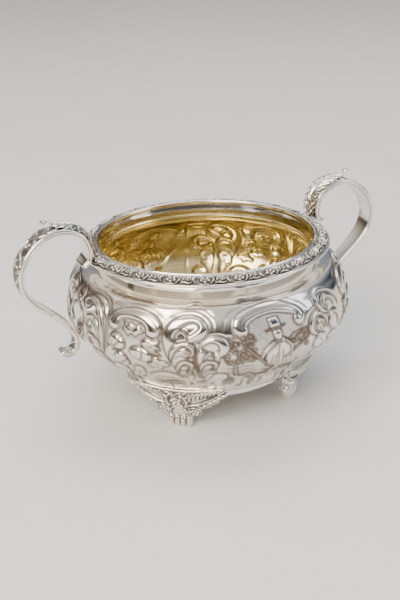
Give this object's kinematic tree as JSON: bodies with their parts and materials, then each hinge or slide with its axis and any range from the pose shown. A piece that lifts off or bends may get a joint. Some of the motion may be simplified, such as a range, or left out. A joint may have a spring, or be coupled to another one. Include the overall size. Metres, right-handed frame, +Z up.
{
  "type": "footed two-handled silver sugar bowl",
  "caption": "Open footed sugar bowl in chased silver with a gilt inside, scroll handles topped by leaves, a cast floral rim border and paw feet under leaf plates.",
  "frame": {"origin": "on the table, midway between the four feet", "axes": "+Z up, +X through the handles, -Y to the front"},
  "size_m": [0.2224, 0.1636, 0.1214],
  "materials": {
    "silver": "polished",
    "silver_gilt": "polished"
  },
  "bodies": {
    "root": {"bowl_body": "silver", "base_ring": "silver", "rim_border_front": "silver", "rim_border_right": "silver", "rim_border_back": "silver", "rim_border_left": "silver", "foot_front_left": "silver", "foot_front_right": "silver", "foot_back_left": "silver", "foot_back_right": "silver", "handle_left_outer": "silver", "handle_left_strap": "silver", "handle_left_leaf": "silver", "handle_right_outer": "silver", "handle_right_strap": "silver", "handle_right_leaf": "silver"}
  },
  "joints": []
}
